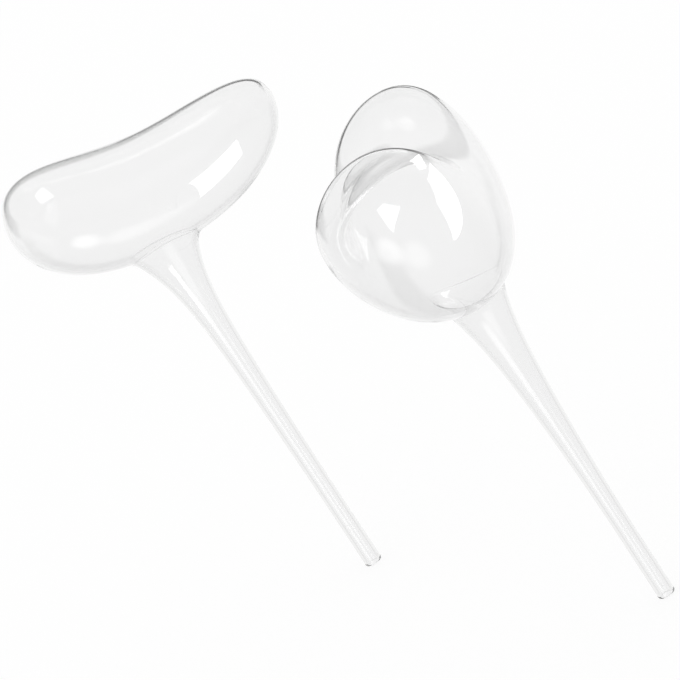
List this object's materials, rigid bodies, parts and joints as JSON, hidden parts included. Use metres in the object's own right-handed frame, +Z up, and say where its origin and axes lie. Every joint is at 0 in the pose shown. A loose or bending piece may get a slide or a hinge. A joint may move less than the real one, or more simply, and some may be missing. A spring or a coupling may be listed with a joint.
{
  "type": "watering globe set",
  "caption": "Clear blown-glass watering globes: hollow bean-shaped bulbs fused to long tapered hollow stems that stand in potting soil and let water out slowly.",
  "frame": {"origin": "centre of the left globe's open tip, at the level that both tips stand on", "axes": "+Z up along both stems, +X to the right and +Y away from the side the picture is taken from"},
  "size_m": [0.1921, 0.349, 0.2621],
  "materials": {
    "clear_glass": "polished"
  },
  "bodies": {
    "left_globe": {"left_stem": "clear_glass", "left_weld_ring": "clear_glass", "left_bulb": "clear_glass"},
    "right_globe": {"right_stem": "clear_glass", "right_weld_ring": "clear_glass", "right_bulb": "clear_glass"}
  },
  "joints": [
    {"name": "right_globe_lift", "type": "slide", "parent": "left_globe", "child": "right_globe", "axis": [0, 0, 1], "range_m": [0, 0.2]}
  ]
}
